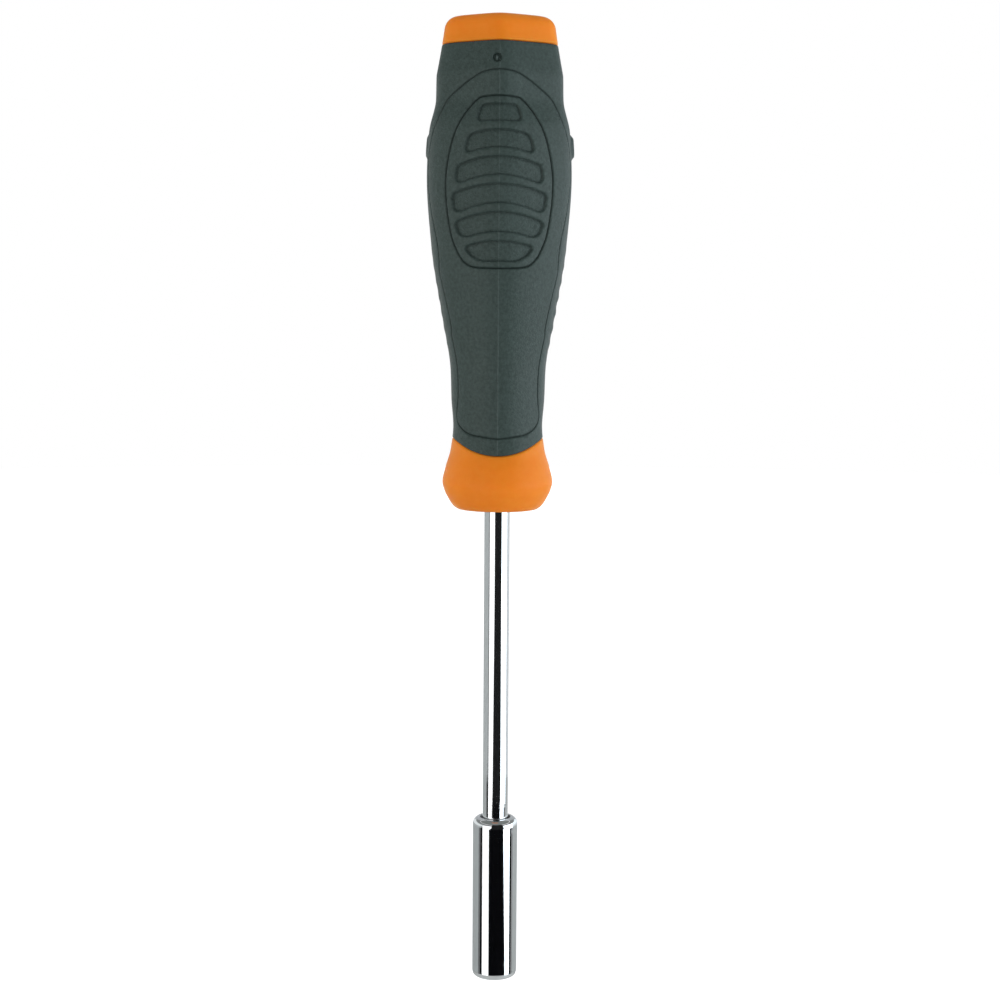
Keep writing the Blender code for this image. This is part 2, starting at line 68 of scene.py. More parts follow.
# Handle: widths from flat to flat, heights up from its foot, and how sharp the corners of its sections are
FOOT_WIDTH = 0.0203
COLLAR_WIDTH = 0.02515
NECK_WIDTH = 0.02029
BELLY_WIDTH = 0.03254
BAND_WIDTH = 0.02819
BUTT_WIDTH = 0.02397
FOOT_ROUNDING = 0.0009
COLLAR_HEIGHT = 0.0061
NECK_HEIGHT = 0.0189
BELLY_HEIGHT = HANDLE_LENGTH - 0.035
BAND_LOW = HANDLE_LENGTH - 0.018
BAND_HIGH = BAND_LOW + 0.0052
BUTT_EDGE = 0.0024
ROUND_SECTION = 2.0
WAIST_SHARPNESS = 3.0
NECK_SHARPNESS = 5.0
GRIP_SHARPNESS = 6.0
BELLY_SHARPNESS = 7.0
BUTT_SHARPNESS = 11.0
FLATS = 6
# Relief on one face keeps this far from the handle's middle plane
FACE_REACH = NECK_WIDTH / 4
# Stands for the distance to a detail that isn't near, and is longer than the tool
FAR_AWAY = 1.0

# Grip, collar and cap where they meet
GRIP_WALL = 0.0025
SEAM_HEIGHT = 0.0145
SEAM_WAVE = 0.0018
SEAM_FADE = 0.012
FIT_GAP = 0.0002
CAP_SEAM = GRIP_TOP + FIT_GAP
SEAM_GAP = 0.00005
SEAM_LIP = 0.00016
ORANGE_LIP = 0.0006
SPIGOT_RADIUS = 0.006

# Relief on the grip, with distances down from the butt
OVAL_GROOVE_HALF = 0.0003
OVAL_GROOVE_DEPTH = 0.00032
CONTOUR_GROOVE_HALF = 0.00027
CONTOUR_GROOVE_DEPTH = 0.00026
# Painted shade: the oval groove is painted wholly in the rubber's shade colour, the contour groove by this
# share
CONTOUR_GROOVE_PAINTED_SHADE = 0.85
POCKET_FROM_BUTT = 0.01975
POCKET_HEIGHT = 0.00385
POCKET_HEIGHT_GROWTH = 0.00014
POCKET_PITCH = 0.00555
POCKET_PITCH_GROWTH = 0.00017
POCKET_DEPTH = 0.00042
POCKET_UPPER_CORNER = 0.0010
POCKET_SLOPE = 0.00036
POCKET_CREASE_DEPTH = 0.0001
POCKET_CREASE_HALF = 0.00026
POCKET_CREASE_TOP_WIDENING = 1.6
# Painted shade in the crease round each thumb pocket, stronger near the pocket's top where it stands for
# shade from above
POCKET_CREASE_PAINTED_SHADE = 0.36
POCKET_CREASE_TOP_PAINTED_SHADE = 0.55
# Widths at the top and bottom as shares of the belly's, how far both ends drop, and the lower corners
POCKETS = (
    (0.246, 0.316, 0.00015, 0.00000, 0.0011),
    (0.412, 0.495, 0.00105, 0.00145, 0.0017),
    (0.577, 0.606, 0.00189, 0.00220, 0.0019),
    (0.652, 0.618, 0.00216, 0.00250, 0.0019),
    (0.617, 0.525, 0.00226, 0.00165, 0.0019),
    (0.488, 0.306, 0.00135, 0.00010, 0.0019),
)
# Grooves: distance down from the butt, and degrees round from the front ridge
OVAL = (
    (0.0181, 0.0),
    (0.0184, 15.4),
    (0.0190, 19.9),
    (0.0198, 23.7),
    (0.0223, 31.0),
    (0.02695, 39.1),
    (0.0338, 44.4),
    (0.04065, 45.3),
    (0.0476, 42.7),
    (0.0511, 38.1),
    (0.05305, 34.0),
    (0.0544, 28.4),
    (0.05495, 22.6),
    (0.05515, 15.0),
    (0.05525, 0.0),
)
CONTOUR = (
    (0.0125, 0.0),
    (0.0130, 14.0),
    (0.0145, 27.0),
    (0.0161, 37.3),
    (0.0177, 46.2),
    (0.0193, 51.6),
    (0.0229, 57.2),
    (0.0267, 64.3),
    (0.0310, 69.0),
    (0.0370, 69.0),
    (0.0420, 65.8),
    (0.0459, 62.6),
    (0.0494, 60.1),
    (0.0529, 60.0),
    (0.0564, 62.6),
    (0.0617, 60.1),
    (0.0680, 57.3),
    (0.0706, 59.0),
    (0.0760, 56.6),
    (0.0814, 55.5),
    (0.0850, 57.2),
    (0.0884, 62.6),
    (0.0904, 56.2),
    (0.0920, 39.2),
    (0.0926, 17.7),
    (0.09293, 0.0),
)
SIDE_RIBS = 8
SIDE_RIB_FROM_BUTT = 0.0475
SIDE_RIB_PITCH = 0.0035
SIDE_RIB_SPAN = 0.008
SIDE_RIB_WIDTH = 0.0028
SIDE_RIB_PEAK_FROM_BUTT = 0.0635
SIDE_RIB_SWELL = 0.018
RIGHT_RIB_PROUD = 0.0002
LEFT_RIB_PROUD = 0.0001
SIDE_RIB_FADE = 0.0012
BUTTON_FROM_BUTT = 0.0280
BUTTON_RADIUS = 0.0030
BUTTON_EDGE = 0.0011
RIGHT_BUTTON_PROUD = 0.0007
LEFT_BUTTON_PROUD = 0.0004
MOULD_LINE_HALF = 0.00013
MOULD_LINE_PROUD = 0.00006
# Painted highlight along the mould line, standing for the glint on its raised flash
MOULD_LINE_PAINTED_HIGHLIGHT = 0.35
# Distances from a ridge at which the grip has extra points for its mould line
MOULD_LINE_STEPS = (0.00006, 0.00013, 0.0003)
GATE_FROM_BUTT = 0.01004
GATE_ASIDE = -0.00055
GATE_RADIUS = 0.00108
GATE_SLOPE = 0.0003
GATE_DEPTH = 0.0006
# Painted shade inside the gate's pit; its nib gets a painted highlight instead
GATE_PAINTED_SHADE = 0.35
GATE_NIB_ASIDE = -0.0001
GATE_NIB_RADIUS = 0.0005
GATE_NIB_STRETCH = 1.7
GATE_NIB_HEIGHT = 0.00055

# Sleeve, and the pieces that it holds
MOUTH_EDGE_WIDTH = 0.001
MOUTH_EDGE_LENGTH = 0.00146
SHOULDER_ROUNDING = 0.0015
# Straight stretch beside each rounded end, which keeps the barrel's shading flat
BARREL_MARGIN = 0.0003
SHAFT_MOUTH_GAP = 0.00055
SHAFT_MOUTH_DEPTH = 0.0012
SOCKET_ACROSS_FLATS = 0.00645
SOCKET_LEAD_IN = 0.0002
RING_SPLIT_DEGREES = 40.0
SHAFT_CHAMFER = 0.0006
MAGNET_ROUNDING = 0.0003
WELD_DISTANCE = 1e-7

# How finely the pieces are drawn
ROUND_STEPS = 144
SMALL_ROUND_STEPS = 96
WIRE_STEPS = 20
GROOVE_STEPS = 80
LIP_STEPS = 6
COLLAR_RINGS = 26
CAP_RINGS = 10
BUTT_EDGE_STEPS = 9
SLEEVE_EDGE_STEPS = 10
MAGNET_EDGE_STEPS = 4
HIDDEN_RINGS = 12
GRIP_ROUND_STEPS = 120
GRIP_RINGS = 100
GRIP_LIP_STEPS = 3
# The grip's skin is halved once within each of these reaches of its details
ANY_DETAIL_REACH = 0.0012
FINE_DETAIL_REACHES = (0.00064, 0.00034)
GATE_DETAIL_REACH = 0.0002
SKIN_TOLERANCE = 0.00006

# Colours and scales of the finishes
SLATE_TONES = (0.024, 0.039, 0.034), (0.029, 0.046, 0.041)
SLATE_SPECKLE = (0.052, 0.078, 0.071)
# Painted highlight colour of the rubber, for the mould line and the gate's nib
SLATE_PAINTED_HIGHLIGHT = (0.12, 0.15, 0.145)
# Painted shade colour of the rubber, for the grooves, the pocket creases and the gate's pit
SLATE_PAINTED_SHADE = (0.007, 0.014, 0.012)
ORANGE_TONES = (0.77, 0.208, 0.012), (0.80, 0.224, 0.015)
ORANGE_SPECKLE = (0.84, 0.27, 0.03)
CHROME_COLOUR = (0.80, 0.81, 0.82)
BROACHED_COLOUR = (0.42, 0.42, 0.42)
SPRING_COLOUR = (0.45, 0.45, 0.46)
NICKEL_COLOUR = (0.62, 0.60, 0.56)
SPECKLE_TO_GRAIN = 0.55
NOISE_LOW, NOISE_HIGH = 0.3, 0.7
SMUDGE_SCALES = 160.0, 900.0
SMUDGE_LOW, SMUDGE_HIGH = 0.22, 0.42
TURNING_STRETCH = (0.02, 0.02, 1.0)

# Camera and studio
CAMERA_PLACE = (0.00064, -0.420, 0.1578)
CAMERA_TILT_DEGREES = 6.1825
CAMERA_ROLL_DEGREES = 0.38
CAMERA_LENS = 66.32
STUDIO_FLOOR = -0.42
STUDIO_HEIGHT = 1.3
STUDIO_TOP = STUDIO_FLOOR + STUDIO_HEIGHT
STUDIO_RADIUS = 0.8
NEAR_WALL = STUDIO_RADIUS - 0.02
MID_WALL = STUDIO_RADIUS + 0.05
FAR_WALL = STUDIO_RADIUS + 0.15
WALL_STEPS = 12
SHEET_STEPS = 64
MAT_HEIGHT = STUDIO_FLOOR + 0.03
FLOOR_RADIUS = 6.0
FLOOR_STEPS = 96
FLOOR_GLOW = 0.95
WORLD_FILL = 0.5
SOFTBOX_TOP = 0.45
LEFT_SOFTBOX_TOP = 0.36
COOL_LIGHT = (0.92, 1.0, 1.06)
LIT_WALL_TOP = 0.42
# Heights on the walls, going down, mirrored in the handle's foot, the shaft, the sleeve's top and its mouth
HANDLE_VIEW = 0.03
SHAFT_VIEW = -0.04
SLEEVE_VIEW = -0.175
MOUTH_VIEW = -0.28
FILL_RADIUS = 0.7
FILL_SPAN_DEGREES = 40
BACK_PANEL_LOW = 0.2
BLACK = (0.004, 0.004, 0.005)
DARK = (0.02, 0.02, 0.02)
DUSK = (0.22, 0.22, 0.22)


def blend(low, high, share):
    return low + share * (high - low)


def smooth_curve(points):
    """A function through (place, value) points that never overshoots them."""
    places, values = np.array(points).T
    steps = np.diff(values) / np.diff(places)
    product = steps[:-1] * steps[1:]
    total = steps[:-1] + steps[1:]
    inner = np.where(product > 0, 2 * product / np.where(total == 0, 1.0, total), 0.0)
    slopes = np.concatenate([steps[:1], inner, steps[-1:]])

    def value(at):
        at = np.clip(at, places[0], places[-1])
        span = np.clip(np.searchsorted(places, at) - 1, 0, len(steps) - 1)
        width = places[span + 1] - places[span]
        t = (at - places[span]) / width
        return (
            values[span] * (1 + 2 * t) * (1 - t) ** 2
            + values[span + 1] * t * t * (3 - 2 * t)
            + width * t * (1 - t) * (slopes[span] * (1 - t) - slopes[span + 1] * t)
        )

    return value


def handle_stations():
    """Height, flat-to-flat width and sharpness of the section, going up from the foot."""
    return (
        (0.0, FOOT_WIDTH - 2 * FOOT_ROUNDING, ROUND_SECTION),
        (0.11 * COLLAR_HEIGHT, FOOT_WIDTH, ROUND_SECTION),
        (0.44 * COLLAR_HEIGHT, blend(FOOT_WIDTH, COLLAR_WIDTH, 0.526), ROUND_SECTION),
        (0.67 * COLLAR_HEIGHT, blend(FOOT_WIDTH, COLLAR_WIDTH, 0.803), ROUND_SECTION),
        (COLLAR_HEIGHT, COLLAR_WIDTH, ROUND_SECTION),
        (blend(COLLAR_HEIGHT, NECK_HEIGHT, 0.25), blend(COLLAR_WIDTH, NECK_WIDTH, 0.272), ROUND_SECTION),
        (blend(COLLAR_HEIGHT, NECK_HEIGHT, 0.58), blend(COLLAR_WIDTH, NECK_WIDTH, 0.765), WAIST_SHARPNESS),
        (NECK_HEIGHT, NECK_WIDTH, NECK_SHARPNESS),
        (blend(NECK_HEIGHT, BELLY_HEIGHT, 0.11), blend(NECK_WIDTH, BELLY_WIDTH, 0.071), NECK_SHARPNESS),
        (blend(NECK_HEIGHT, BELLY_HEIGHT, 0.227), blend(NECK_WIDTH, BELLY_WIDTH, 0.106), NECK_SHARPNESS),
        (blend(NECK_HEIGHT, BELLY_HEIGHT, 0.442), blend(NECK_WIDTH, BELLY_WIDTH, 0.415), NECK_SHARPNESS),
        (blend(NECK_HEIGHT, BELLY_HEIGHT, 0.73), blend(NECK_WIDTH, BELLY_WIDTH, 0.832), GRIP_SHARPNESS),
        (BELLY_HEIGHT, BELLY_WIDTH, BELLY_SHARPNESS),
        (blend(BELLY_HEIGHT, BAND_LOW, 0.59), blend(BELLY_WIDTH, BAND_WIDTH, 0.22), BELLY_SHARPNESS),
        (BAND_LOW, blend(BELLY_WIDTH, BAND_WIDTH, 0.949), BUTT_SHARPNESS),
        (BAND_HIGH, BAND_WIDTH, BUTT_SHARPNESS),
        (blend(BAND_HIGH, HANDLE_LENGTH, 0.11), blend(BAND_WIDTH, BUTT_WIDTH, 0.123), BUTT_SHARPNESS),
        (blend(BAND_HIGH, HANDLE_LENGTH, 0.515), blend(BAND_WIDTH, BUTT_WIDTH, 0.557), BUTT_SHARPNESS),
        (HANDLE_LENGTH, BUTT_WIDTH, BUTT_SHARPNESS),
    )


half_width = smooth_curve([(height, width / 2) for height, width, _ in handle_stations()])
sharpness = smooth_curve([(height, sharp) for height, _, sharp in handle_stations()])


def handle_radius(angle, height, inset=0.0):
    """Radius of the handle's rounded hexagon, with flats at +X and -X."""
    sharp = sharpness(height)
    sides = [np.cos(angle - 2 * math.pi * side / FLATS) for side in range(FLATS)]
    spread = sum(np.maximum(0.0, side) ** sharp for side in sides)
    # In the middle of a flat that side counts whole, and each neighbour, 60 degrees away, by its cosine
    level = 1 + 2 * 0.5 ** sharp
    return (half_width(height) - inset) * (level / spread) ** (1 / sharp)


def handle_point(angle, height, inset=0.0):
    angle, height = np.broadcast_arrays(np.asarray(angle, float), np.asarray(height, float))
    radius = handle_radius(angle, height, inset)
    return np.stack([radius * np.cos(angle), radius * np.sin(angle), FOOT + height], axis=-1)


def seam_rise(angle, height):
    """The grip's lower edge dips at the front and back ridges, and the dip fades out upwards."""
    share = np.clip(1 - (height - SEAM_HEIGHT) / SEAM_FADE, 0.0, 1.0)
    return SEAM_WAVE * share * np.cos(2 * angle)


def round_angles(count):
    return np.arange(count) * 2 * math.pi / count


def circle(angles, radius, height):
    """Flat ring round the axis; the radius is one number or one for each angle."""
    heights = np.full(len(angles), height)
    return np.stack([radius * np.cos(angles), radius * np.sin(angles), heights], axis=-1)


def hexagon(angles, across_flats, height):
    """Ring on a true hexagon with flats at +X and -X."""
    step = 2 * math.pi / FLATS
    off_flat = (angles + step / 2) % step - step / 2
    return circle(angles, across_flats / 2 / np.cos(off_flat), height)


def handle_ring(angles, height, inset=0.0, wavy=False):
    rise = seam_rise(angles, height) if wavy else 0.0
    return handle_point(angles, height + rise, inset)


def quarter_turn(steps):
    return np.linspace(0.0, math.pi / 2, steps + 1)


def lofted(rings, closed=False):
    """A skin through the rings, capped at its two ends or closed from the last ring to the first."""
    bm = bmesh.new()
    count = len(rings[0])
    verts = bmesh.ops.create_circle(bm, segments=count, radius=1.0)["verts"]
    verts.sort(key=lambda vert: math.atan2(vert.co.y, vert.co.x) % (2 * math.pi))
    start = loop = [bm.edges.get((verts[i - 1], verts[i])) for i in range(count)]
    for vert, place in zip(verts, rings[0]):
        vert.co = place
    for ring in rings[1:]:
        grown = bmesh.ops.extrude_edge_only(bm, edges=loop)["geom"]
        fresh = {item for item in grown if isinstance(item, bmesh.types.BMVert)}
        around = [{edge.other_vert(vert) for edge in vert.link_edges} for vert in verts]
        verts = [(fresh & near).pop() for near in around]
        loop = [bm.edges.get((verts[i - 1], verts[i])) for i in range(count)]
        for vert, place in zip(verts, ring):
            vert.co = place
    if closed:
        bmesh.ops.bridge_loops(bm, edges=loop + start)
    else:
        bmesh.ops.contextual_create(bm, geom=start)
        bmesh.ops.contextual_create(bm, geom=loop)
    return facing_out(bm)


def facing_out(bm):
    bmesh.ops.recalc_face_normals(bm, faces=bm.faces)
    if bm.calc_volume(signed=True) < 0:
        bmesh.ops.reverse_faces(bm, faces=bm.faces)
    return bm


def placed(name, bm, finishes):
    """An object in the scene with the bmesh's shape and these finishes."""
    mesh = bpy.data.meshes.new(name)
    bm.to_mesh(mesh)
    bm.free()
    for finish in finishes:
        mesh.materials.append(finish)
    made = bpy.data.objects.new(name, mesh)
    bpy.context.scene.collection.objects.link(made)
    return made


def shown(name, bm, finishes, nodes, crease_degrees=35.0):
    """The finished piece: smooth shaded, riding on the tool, standing for its frame nodes."""
    piece = placed(name, bm, finishes)
    piece.data.shade_smooth()
    piece.data.set_sharp_from_angle(angle=math.radians(crease_degrees))
    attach(piece, "root")
    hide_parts(*nodes)
    return piece


def groove_line(half):
    """Closed groove line as angles from the front ridge and heights, mirrored from its right half."""
    down = [(math.radians(angle), HANDLE_LENGTH - drop) for drop, angle in half]
    points = np.array(down + [(-angle, height) for angle, height in reversed(down[1:-1])])
    t = np.linspace(0, 1, GROOVE_STEPS, endpoint=False)[:, None]
    spans = []
    for i in range(len(points)):
        before, start, end, after = (points[(i + k) % len(points)] for k in (-1, 0, 1, 2))
        spans.append(0.5 * (
            2 * start
            + (end - before) * t
            + (2 * before - 5 * start + 4 * end - after) * t ** 2
            + (3 * start - before - 3 * end + after) * t ** 3
        ))
    line = np.concatenate(spans)
    return line[:, 0], line[:, 1]


def groove_tree(half):
    """Search tree of points along a groove, on the front and on the back."""
    angles, heights = groove_line(half)
    places = [handle_point(facing + angles, heights) for facing in (-math.pi / 2, math.pi / 2)]
    places = np.concatenate(places)
    tree = KDTree(len(places))
    for number, place in enumerate(places):
        tree.insert(place, number)
    tree.balance()
    return tree


oval_tree = groove_tree(OVAL)
contour_tree = groove_tree(CONTOUR)


def groove_gap(places, tree):
    return np.array([tree.find(place)[2] for place in places])


def rounded_meet(first, second, corner):
    """Distance outside the place where two sides meet in a rounded corner, from the distances to both."""
    outside = np.hypot(np.maximum(first + corner, 0), np.maximum(second + corner, 0))
    return outside + np.minimum(np.maximum(first, second) + corner, 0) - corner


def pocket_gap(places):
    """Distance outside the nearest thumb pocket, negative inside, and how near its top it is from 0 to 1."""
    x = np.abs(places[:, 0])
    height = places[:, 2] - FOOT
    top = HANDLE_LENGTH - POCKET_FROM_BUTT
    gaps = []
    rises = []
    for number, (top_share, bottom_share, top_drop, bottom_drop, corner) in enumerate(POCKETS):
        top_half = top_share * BELLY_WIDTH / 2
        bottom_half = bottom_share * BELLY_WIDTH / 2
        tall = POCKET_HEIGHT + number * POCKET_HEIGHT_GROWTH
        upper = top - top_drop * (x / top_half) ** 2
        lower = top - tall - bottom_drop * (x / bottom_half) ** 2
        down = (upper - height) / tall
        over = (height - upper) / np.hypot(1, 2 * top_drop * x / top_half ** 2)
        under = (lower - height) / np.hypot(1, 2 * bottom_drop * x / bottom_half ** 2)
        side = blend(top_half, bottom_half, np.clip(down, 0, 1))
        beside = (x - side) / np.hypot(1, (bottom_half - top_half) / tall)
        above = rounded_meet(beside, over, POCKET_UPPER_CORNER)
        below = rounded_meet(beside, under, corner)
        gaps.append(np.maximum(above, below))
        rises.append(1 - eased(down))
        top -= POCKET_PITCH + number * POCKET_PITCH_GROWTH
    nearest = np.argmin(gaps, axis=0)[None]
    gap = np.take_along_axis(np.array(gaps), nearest, 0)[0]
    rise = np.take_along_axis(np.array(rises), nearest, 0)[0]
    return np.where(np.abs(places[:, 1]) > FACE_REACH, gap, FAR_AWAY), rise


def side_rib_rise(places):
    """Height of the soft ribs on both side flats, from 0 to 1."""
    height = places[:, 2] - FOOT
    first = HANDLE_LENGTH - SIDE_RIB_FROM_BUTT
    number = np.clip(np.round((first - height) / SIDE_RIB_PITCH), 0, SIDE_RIBS - 1)
    above = height - (first - number * SIDE_RIB_PITCH)
    ends = eased((SIDE_RIB_SPAN / 2 - np.abs(places[:, 1])) / SIDE_RIB_FADE)
    swell = hump((height - HANDLE_LENGTH + SIDE_RIB_PEAK_FROM_BUTT) / SIDE_RIB_SWELL)
    return hump(above / (SIDE_RIB_WIDTH / 2)) * ends * swell * (np.abs(places[:, 0]) > FACE_REACH)


def button_gap(places):
    """Distance from the centre of the bare button on the nearer side flat."""
    return np.hypot(places[:, 1], places[:, 2] - FOOT - (HANDLE_LENGTH - BUTTON_FROM_BUTT))


def gate_gap(places, aside, stretch=1.0):
    """Distance from a point beside the centre of the moulding gate's mark, less if stretched up and down."""
    above = places[:, 2] - FOOT - (HANDLE_LENGTH - GATE_FROM_BUTT)
    return np.where(places[:, 1] < 0, np.hypot(places[:, 0] - aside, above / stretch), FAR_AWAY)


def eased(share):
    """Smooth step from 0 to 1 as the share goes from 0 to 1."""
    share = np.clip(share, 0.0, 1.0)
    return share * share * (3 - 2 * share)


def hump(share):
    """Smooth hump: 1 at a share of 0, falling to 0 at a share of 1 on either side."""
    return np.maximum(0.0, 1 - share * share) ** 2


def grip_relief(places):
    """How far each place of the smooth grip moves out, its painted shade (dark) and painted highlight
    (pale), and how grainy it is, each from 0 to 1.
    """
    oval = hump(groove_gap(places, oval_tree) / OVAL_GROOVE_HALF)
    contour = hump(groove_gap(places, contour_tree) / CONTOUR_GROOVE_HALF)
    edge, rise = pocket_gap(places)
    pocket = eased(0.5 - edge / POCKET_SLOPE)
    crease_half = POCKET_CREASE_HALF * blend(1.0, POCKET_CREASE_TOP_WIDENING, rise)
    crease = hump((edge + POCKET_SLOPE / 2) / crease_half)
    gate = eased((GATE_RADIUS - gate_gap(places, GATE_ASIDE)) / GATE_SLOPE)
    nib = hump(gate_gap(places, GATE_ASIDE + GATE_NIB_ASIDE, GATE_NIB_STRETCH) / GATE_NIB_RADIUS)
    line = hump(places[:, 0] / MOULD_LINE_HALF) * (1 - np.maximum(oval, contour)) * (1 - gate)
    out = -OVAL_GROOVE_DEPTH * oval - CONTOUR_GROOVE_DEPTH * contour
    out = out - POCKET_DEPTH * pocket - POCKET_CREASE_DEPTH * crease
    out = out - GATE_DEPTH * gate + GATE_NIB_HEIGHT * nib
    right = places[:, 0] > 0
    button = np.where(right, RIGHT_BUTTON_PROUD, LEFT_BUTTON_PROUD)
    rib = np.where(right, RIGHT_RIB_PROUD, LEFT_RIB_PROUD)
    out = out + button * eased((BUTTON_RADIUS - button_gap(places)) / BUTTON_EDGE)
    out = out + rib * side_rib_rise(places) + MOULD_LINE_PROUD * line
    # Painted shade in the grooves, the creases round the pockets and the gate's pit, and a painted highlight
    # on the mould line and the gate's nib
    contour_painted_shade = CONTOUR_GROOVE_PAINTED_SHADE * contour
    crease_painted_shade = blend(POCKET_CREASE_PAINTED_SHADE, POCKET_CREASE_TOP_PAINTED_SHADE, rise) * crease
    gate_painted_shade = GATE_PAINTED_SHADE * gate * (1 - nib)
    dark = np.max([oval, contour_painted_shade, crease_painted_shade, gate_painted_shade], axis=0)
    return out, dark, np.maximum(MOULD_LINE_PAINTED_HIGHLIGHT * line, nib), pocket


def grip_angles():
    """Even angles round the grip, with a few close beside the mould line of each ridge."""
    beside = np.array(MOULD_LINE_STEPS) / (BELLY_WIDTH / 2)
    extra = [ridge + side * beside for ridge in (math.pi / 2, 3 * math.pi / 2) for side in (-1, 1)]
    return np.sort(np.concatenate([round_angles(GRIP_ROUND_STEPS), *extra]))


def skin_places(bm, lowest, highest):
    """The grip's outer skin: its points, angles and heights, leaving out the rims and the inside."""
    bm.verts.ensure_lookup_table()
    places = np.array([vert.co for vert in bm.verts])
    angles = np.arctan2(places[:, 1], places[:, 0])
    heights = places[:, 2] - FOOT
    off_form = np.hypot(places[:, 0], places[:, 1]) - handle_radius(angles, heights)
    near = np.abs(off_form) < SKIN_TOLERANCE
    inside_rims = (heights > lowest + seam_rise(angles, heights) + SEAM_LIP) & (heights < highest - SEAM_LIP)
    return np.flatnonzero(near & inside_rims), angles, heights


def settle(bm, chosen, angles, heights, out=0.0):
    """Puts the chosen points on the handle's form, moved out by their relief."""
    radius = handle_radius(angles[chosen], heights[chosen]) + out
    for number, x, y in zip(chosen, radius * np.cos(angles[chosen]), radius * np.sin(angles[chosen])):
        bm.verts[number].co.x = x
        bm.verts[number].co.y = y


def refine(bm, lowest, highest, reach, nearest):
    """Halves the edges of the skin that lie within reach of a detail."""
    chosen, _, _ = skin_places(bm, lowest, highest)
    places = np.array([bm.verts[number].co for number in chosen])
    close = set(chosen[nearest(places) < reach])
    edges = [edge for edge in bm.edges if edge.verts[0].index in close and edge.verts[1].index in close]
    bmesh.ops.subdivide_edges(bm, edges=edges, cuts=1, use_grid_fill=True)
    bm.verts.index_update()
    chosen, angles, heights = skin_places(bm, lowest, highest)
    settle(bm, chosen, angles, heights)


def build_grip(rubber):
    """Soft shell with crisp grooves, sunken thumb pockets, side ribs and a fine mould line."""
    angles = grip_angles()
    lowest = SEAM_HEIGHT + SEAM_GAP
    highest = CAP_SEAM - SEAM_GAP
    depth = GRIP_WALL - FIT_GAP
    lip = [
        (SEAM_LIP * (1 - math.sin(turn)), SEAM_LIP * (1 - math.cos(turn)))
        for turn in quarter_turn(GRIP_LIP_STEPS)
    ]
    rings = [handle_ring(angles, lowest + rise, inset, wavy=True) for inset, rise in lip]
    rings += [
        handle_ring(angles, height, wavy=True)
        for height in np.linspace(lowest + SEAM_LIP, highest - SEAM_LIP, GRIP_RINGS)[1:-1]
    ]
    rings += [handle_ring(angles, highest - rise, inset) for inset, rise in reversed(lip)]
    for height in np.linspace(highest, lowest, HIDDEN_RINGS):
        rings.append(handle_ring(angles, height, depth, wavy=True))
    bm = lofted(rings, closed=True)

    def gate_detail(places):
        return np.maximum(gate_gap(places, GATE_ASIDE) - GATE_RADIUS, 0)

    def fine_detail(places):
        grooves = np.minimum(groove_gap(places, oval_tree), groove_gap(places, contour_tree))
        pockets = np.abs(pocket_gap(places)[0] + POCKET_SLOPE / 2)
        return np.minimum(grooves, np.minimum(gate_detail(places), pockets))

    def any_detail(places):
        button = np.maximum(button_gap(places) - BUTTON_RADIUS, 0)
        ribs = np.where(side_rib_rise(places) > 0, 0.0, FAR_AWAY)
        return np.minimum(fine_detail(places), np.minimum(button, ribs))

    refine(bm, lowest, highest, ANY_DETAIL_REACH, any_detail)
    for reach in FINE_DETAIL_REACHES:
        refine(bm, lowest, highest, reach, fine_detail)
    refine(bm, lowest, highest, GATE_DETAIL_REACH, gate_detail)
    chosen, angles, heights = skin_places(bm, lowest, highest)
    out, dark, pale, grainy = grip_relief(handle_point(angles[chosen], heights[chosen]))
    settle(bm, chosen, angles, heights, out)
    # The dark layer holds painted shade and the pale layer a painted highlight; grainy marks the pockets for
    # a coarser bump
    for name, values in (("dark", dark), ("pale", pale), ("grainy", grainy)):
        layer = bm.verts.layers.float.new(name)
        bm.verts.ensure_lookup_table()
        for number, value in zip(chosen, values):
            bm.verts[number][layer] = value
    bmesh.ops.recalc_face_normals(bm, faces=bm.faces)
    return shown("grip_shell", bm, [rubber], ["grip"], crease_degrees=60.0)


def build_collar(orange):
    """Collar and the spool that carries the grip, in one moulding with a soft foot and lip."""
    angles = round_angles(ROUND_STEPS)
    bore = SHAFT_RADIUS + FIT_GAP
    top = CAP_SEAM - FIT_GAP
    rings = [circle(angles, bore, SHAFT_HIGH + FIT_GAP), circle(angles, bore, FOOT)]
    rings += [handle_ring(angles, height) for height in np.linspace(0.0, COLLAR_HEIGHT, COLLAR_RINGS)]
    for share in np.linspace(0.0, 1.0, COLLAR_RINGS)[1:]:
        height = blend(COLLAR_HEIGHT, SEAM_HEIGHT - ORANGE_LIP, share)
        rings.append(handle_point(angles, height + share * seam_rise(angles, SEAM_HEIGHT)))
    for turn in quarter_turn(LIP_STEPS)[1:]:
        height = SEAM_HEIGHT - ORANGE_LIP * (1 - math.sin(turn))
        rings.append(handle_ring(angles, height, ORANGE_LIP * (1 - math.cos(turn)), wavy=True))
    for height in np.linspace(SEAM_HEIGHT, top, HIDDEN_RINGS):
        rings.append(handle_ring(angles, height, GRIP_WALL, wavy=True))
    rings += [
        circle(angles, SPIGOT_RADIUS + FIT_GAP, FOOT + top),
        circle(angles, SPIGOT_RADIUS + FIT_GAP, FOOT + CAP_FOOT - 2 * FIT_GAP),
    ]
    return shown("collar_and_spool", lofted(rings), [orange], ["handle_core"])


